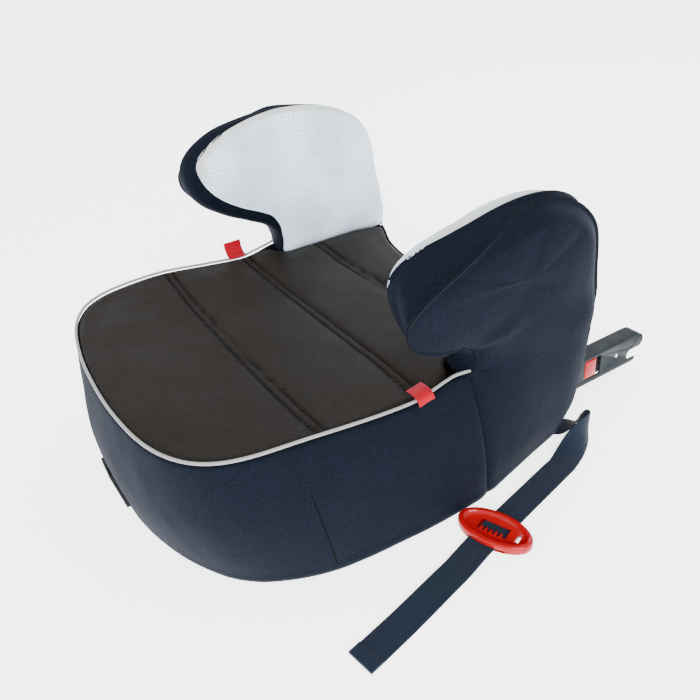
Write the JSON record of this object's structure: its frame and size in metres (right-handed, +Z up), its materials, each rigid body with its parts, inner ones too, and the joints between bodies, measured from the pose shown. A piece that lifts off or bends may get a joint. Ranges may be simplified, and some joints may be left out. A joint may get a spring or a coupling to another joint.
{
  "type": "backless booster car seat",
  "caption": "Backless booster car seat with a padded seat, armrests that guide the lap belt, retractable lower anchor arms, and a shoulder strap with a sliding clip.",
  "frame": {"origin": "on the floor, under the middle of the whole length from the front handle to the tips of the anchor arms, on the middle plane", "axes": "+X to the seated child's left, -Y to the front of the seat, +Y to the anchor arms at the rear, +Z up"},
  "size_m": [0.501, 0.5707, 0.284],
  "materials": {
    "seat_leatherette": "fine grain, satin",
    "cover_knit": "black knit with a cool sheen",
    "panel_mesh": "light spacer mesh with a fine dot pattern",
    "piping_cloth": "covered cord",
    "red_ribbon": "woven ribbon",
    "foam": "polyurethane foam",
    "shell_plastic": "moulded polypropylene",
    "red_plastic": "glossy",
    "grey_steel": "dark coating",
    "bright_steel": "zinc plated",
    "foot_rubber": "matt",
    "webbing": "woven polyester"
  },
  "bodies": {
    "base": {"base_plate": "shell_plastic", "base_screw_1": "bright_steel", "base_screw_2": "bright_steel", "base_screw_3": "bright_steel", "base_screw_4": "bright_steel", "brake_bracket": "grey_steel", "brake_pin": "bright_steel", "clamp_screw_1": "bright_steel", "clamp_screw_2": "bright_steel", "edge_piping": "piping_cloth", "front_skirt": "cover_knit", "left_armrest_foam": "foam", "left_armrest_inner_panel": "panel_mesh", "left_belt_guide_tab": "red_ribbon", "left_guide_channel": "shell_plastic", "left_side_cover": "cover_knit", "rear_skirt": "cover_knit", "right_armrest_foam": "foam", "right_armrest_inner_panel": "panel_mesh", "right_belt_guide_tab": "red_ribbon", "right_guide_channel": "shell_plastic", "right_side_cover": "cover_knit", "rubber_foot_1": "foot_rubber", "rubber_foot_2": "foot_rubber", "rubber_foot_3": "foot_rubber", "rubber_foot_4": "foot_rubber", "seat_foam": "foam", "seat_shell": "shell_plastic", "seat_top_cover": "seat_leatherette", "shoulder_strap": "webbing", "strap_clamp": "grey_steel"},
    "isofix_carriage": {"cross_bar": "grey_steel", "slide_bar": "bright_steel", "left_isofix_arm": "grey_steel", "right_isofix_arm": "grey_steel", "left_pivot_pin": "bright_steel", "right_pivot_pin": "bright_steel"},
    "left_button": {"left_release_button": "red_plastic"},
    "right_button": {"right_release_button": "red_plastic"},
    "left_hook": {"left_latch_hook": "bright_steel"},
    "right_hook": {"right_latch_hook": "bright_steel"},
    "pull_handle": {"release_handle": "shell_plastic", "handle_rod": "bright_steel"},
    "lever": {"brake_lever": "grey_steel"},
    "clip": {"belt_clip": "red_plastic"}
  },
  "joints": [
    {"name": "isofix_retract", "type": "slide", "parent": "base", "child": "isofix_carriage", "axis": [0, -1, 0], "range_m": [0, 0.1]},
    {"name": "handle_pull", "type": "slide", "parent": "base", "child": "pull_handle", "axis": [0, -1, 0], "range_m": [0, 0.008], "stiffness_N_per_m": 600},
    {"name": "lever_lift", "type": "hinge", "parent": "base", "child": "lever", "pos_m": [0, -0.1645, 0.028], "axis": [1, 0, 0], "range_deg": [0, 25.8]},
    {"name": "left_button_slide", "type": "slide", "parent": "isofix_carriage", "child": "left_button", "axis": [0, 1, 0], "range_m": [0, 0.006]},
    {"name": "left_hook_turn", "type": "hinge", "parent": "isofix_carriage", "child": "left_hook", "pos_m": [0.14, 0.2435, 0.0293], "axis": [-1, 0, 0], "range_deg": [0, 35]},
    {"name": "right_button_slide", "type": "slide", "parent": "isofix_carriage", "child": "right_button", "axis": [0, 1, 0], "range_m": [0, 0.006]},
    {"name": "right_hook_turn", "type": "hinge", "parent": "isofix_carriage", "child": "right_hook", "pos_m": [-0.14, 0.2435, 0.0293], "axis": [-1, 0, 0], "range_deg": [0, 35]},
    {"name": "clip_slide", "type": "slide", "parent": "base", "child": "clip", "axis": [0.22, -0.9755, 0], "range_m": [0, 0.06]}
  ],
  "couplings": [
    {"joint": "lever_lift", "follows": "handle_pull", "rad_per_m": 56.25},
    {"joint": "left_hook_turn", "follows": "left_button_slide", "rad_per_m": 101.6},
    {"joint": "right_hook_turn", "follows": "right_button_slide", "rad_per_m": 101.6}
  ]
}
